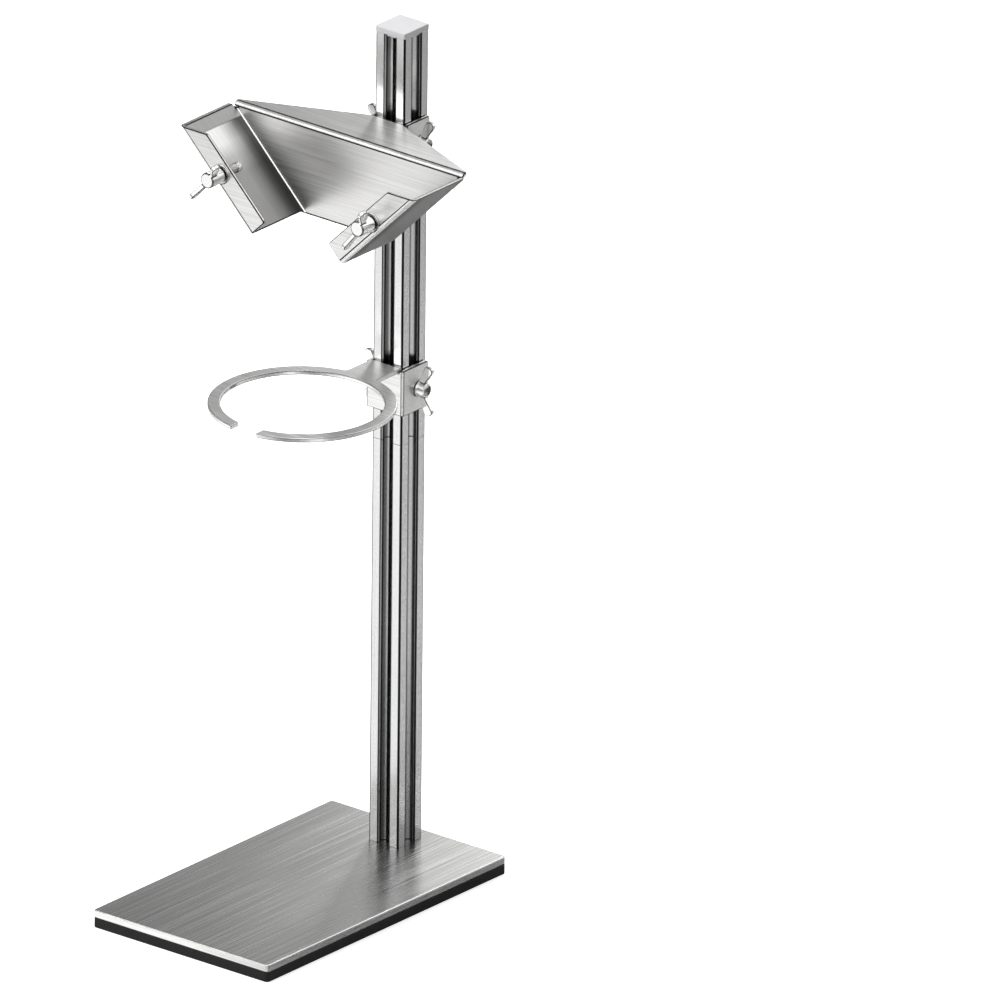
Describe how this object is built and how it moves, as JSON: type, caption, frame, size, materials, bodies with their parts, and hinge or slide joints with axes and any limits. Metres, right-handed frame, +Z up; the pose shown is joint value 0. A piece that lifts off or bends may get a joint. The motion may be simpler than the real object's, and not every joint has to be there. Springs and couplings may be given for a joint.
{
  "type": "funnel stand",
  "caption": "Desktop stand: a slotted square post on a flat base holds a C-shaped ring for a funnel and, above it, a folded cradle that grips a vat tipped on its corner to drain.",
  "frame": {"origin": "centre of the underside of the rubber pad", "axes": "+Z up along the post; +Y from the ring towards the post; +X to the right as seen from the front, where the ring's gap and the thumb screws face"},
  "size_m": [0.1624, 0.2, 0.4782],
  "materials": {
    "rubber_foot": "matte",
    "base_steel": "brushed along its length",
    "bracket_steel": "satin, brushed",
    "post_aluminium": "smooth anodised",
    "cap_plastic": "moulded, light grey",
    "fastener_steel": "zinc plated",
    "wing_steel": "bright plated"
  },
  "bodies": {
    "stand": {"rubber_pad": "rubber_foot", "base_plate": "base_steel", "base_screw": "fastener_steel", "post_lower": "post_aluminium", "post_upper": "post_aluminium", "post_joining_stud": "fastener_steel", "post_cap": "cap_plastic"},
    "ring_holder": {"ring_bracket": "bracket_steel", "ring_clamp_bolt_left": "fastener_steel", "ring_clamp_bolt_right": "fastener_steel"},
    "cradle": {"cradle_bracket": "bracket_steel", "cradle_clamp_bolt_left": "fastener_steel", "cradle_clamp_bolt_right": "fastener_steel", "lip_insert_left": "fastener_steel", "lip_insert_right": "fastener_steel"},
    "ring_washer_left": {"ring_washer_left": "fastener_steel"},
    "ring_wing_nut_left": {"ring_wing_nut_left": "wing_steel"},
    "ring_washer_right": {"ring_washer_right": "fastener_steel"},
    "ring_wing_nut_right": {"ring_wing_nut_right": "wing_steel"},
    "cradle_washer_left": {"cradle_washer_left": "fastener_steel"},
    "cradle_wing_nut_left": {"cradle_wing_nut_left": "wing_steel"},
    "cradle_washer_right": {"cradle_washer_right": "fastener_steel"},
    "cradle_wing_nut_right": {"cradle_wing_nut_right": "wing_steel"},
    "nose_pad_left": {"nose_pad_left": "wing_steel"},
    "thumb_screw_left": {"thumb_screw_left": "wing_steel"},
    "nose_pad_right": {"nose_pad_right": "wing_steel"},
    "thumb_screw_right": {"thumb_screw_right": "wing_steel"}
  },
  "joints": [
    {"name": "ring_height", "type": "slide", "parent": "stand", "child": "ring_holder", "axis": [0, 0, 1], "range_m": [-0.245, 0.04]},
    {"name": "cradle_height", "type": "slide", "parent": "stand", "child": "cradle", "axis": [0, 0, 1], "range_m": [-0.045, 0.045]},
    {"name": "ring_washer_left_travel", "type": "slide", "parent": "ring_holder", "child": "ring_washer_left", "axis": [-1, 0, 0], "range_m": [0, 0.0025]},
    {"name": "ring_wing_nut_left_spin", "type": "hinge", "parent": "ring_washer_left", "child": "ring_wing_nut_left", "pos_m": [-0.0165, 0.08, 0.2726], "axis": [-1, 0, 0], "range_deg": [0, 1080]},
    {"name": "ring_washer_right_travel", "type": "slide", "parent": "ring_holder", "child": "ring_washer_right", "axis": [1, 0, 0], "range_m": [0, 0.0025]},
    {"name": "ring_wing_nut_right_spin", "type": "hinge", "parent": "ring_washer_right", "child": "ring_wing_nut_right", "pos_m": [0.0165, 0.08, 0.2726], "axis": [1, 0, 0], "range_deg": [0, 1080]},
    {"name": "cradle_washer_left_travel", "type": "slide", "parent": "cradle", "child": "cradle_washer_left", "axis": [-1, 0, 0], "range_m": [0, 0.0025]},
    {"name": "cradle_wing_nut_left_spin", "type": "hinge", "parent": "cradle_washer_left", "child": "cradle_wing_nut_left", "pos_m": [-0.0165, 0.08, 0.4133], "axis": [-1, 0, 0], "range_deg": [0, 1080]},
    {"name": "cradle_washer_right_travel", "type": "slide", "parent": "cradle", "child": "cradle_washer_right", "axis": [1, 0, 0], "range_m": [0, 0.0025]},
    {"name": "cradle_wing_nut_right_spin", "type": "hinge", "parent": "cradle_washer_right", "child": "cradle_wing_nut_right", "pos_m": [0.0165, 0.08, 0.4133], "axis": [1, 0, 0], "range_deg": [0, 1080]},
    {"name": "nose_pad_left_travel", "type": "slide", "parent": "cradle", "child": "nose_pad_left", "axis": [0, -1, 0], "range_m": [0, 0.009]},
    {"name": "thumb_screw_left_spin", "type": "hinge", "parent": "nose_pad_left", "child": "thumb_screw_left", "pos_m": [-0.0515, -0.0079, 0.40582], "axis": [0, -1, 0], "range_deg": [0, 3960]},
    {"name": "nose_pad_right_travel", "type": "slide", "parent": "cradle", "child": "nose_pad_right", "axis": [0, -1, 0], "range_m": [0, 0.009]},
    {"name": "thumb_screw_right_spin", "type": "hinge", "parent": "nose_pad_right", "child": "thumb_screw_right", "pos_m": [0.0515, -0.0079, 0.40582], "axis": [0, -1, 0], "range_deg": [0, 3960]}
  ],
  "couplings": [
    {"joint": "ring_washer_left_travel", "follows": "ring_wing_nut_left_spin", "m_per_rad": 0.00012732},
    {"joint": "ring_washer_right_travel", "follows": "ring_wing_nut_right_spin", "m_per_rad": 0.00012732},
    {"joint": "cradle_washer_left_travel", "follows": "cradle_wing_nut_left_spin", "m_per_rad": 0.00012732},
    {"joint": "cradle_washer_right_travel", "follows": "cradle_wing_nut_right_spin", "m_per_rad": 0.00012732},
    {"joint": "nose_pad_left_travel", "follows": "thumb_screw_left_spin", "m_per_rad": 0.00012732},
    {"joint": "nose_pad_right_travel", "follows": "thumb_screw_right_spin", "m_per_rad": 0.00012732}
  ]
}
